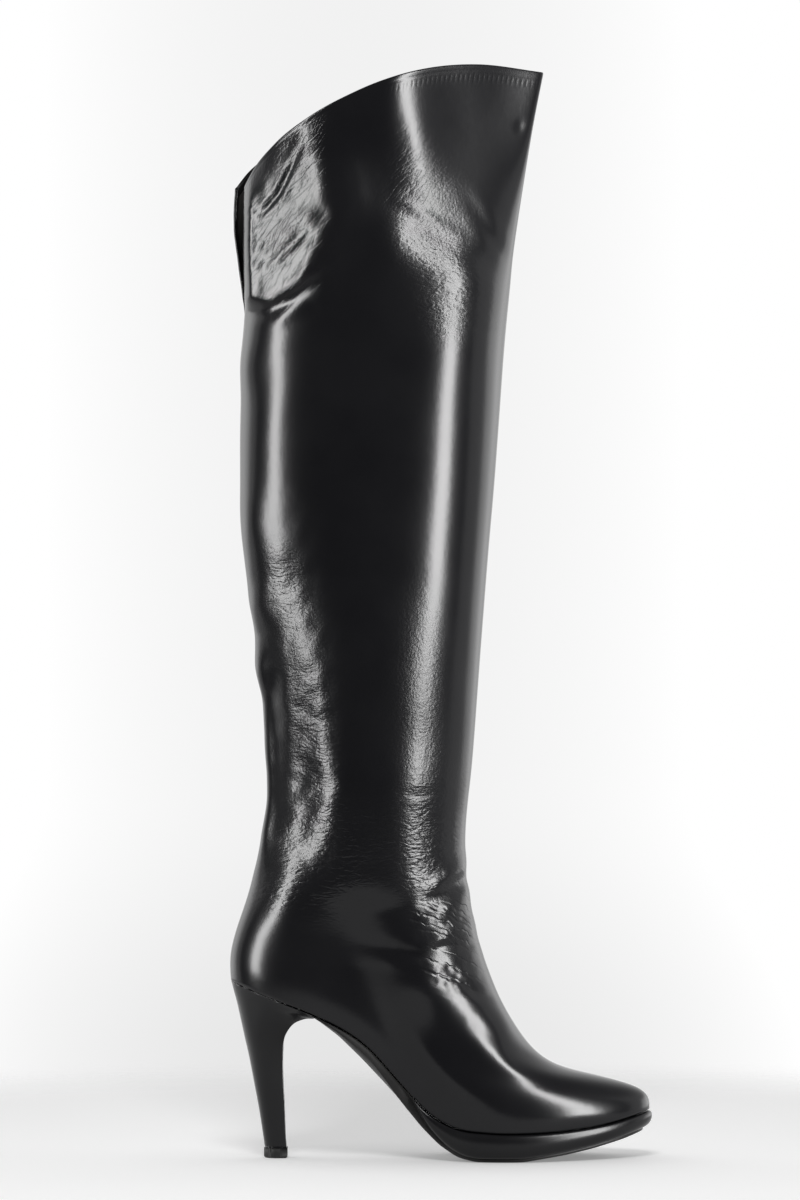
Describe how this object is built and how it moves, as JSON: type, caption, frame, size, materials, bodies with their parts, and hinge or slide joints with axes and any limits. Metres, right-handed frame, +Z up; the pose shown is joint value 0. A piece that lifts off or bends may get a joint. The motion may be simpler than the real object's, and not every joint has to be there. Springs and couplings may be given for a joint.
{
  "type": "tall boot",
  "caption": "Pull-on over-the-knee dress boot with a slit at the back of the cuff, a high covered heel and a slim platform.",
  "frame": {"origin": "on the floor under the middle of the boot's length and width", "axes": "+X towards the toe, +Y towards the inner side of the foot, +Z up the shaft"},
  "size_m": [0.2375, 0.1086, 0.6092],
  "materials": {
    "polished_leather": "polished",
    "covered_leather": "polished",
    "sole_leather": "burnished",
    "sock_leather": "matt",
    "tip_rubber": "matt"
  },
  "bodies": {
    "root": {"upper": "polished_leather", "insole": "sock_leather", "platform": "covered_leather", "outsole": "sole_leather", "heel": "covered_leather", "heel_tip": "tip_rubber"}
  },
  "joints": []
}
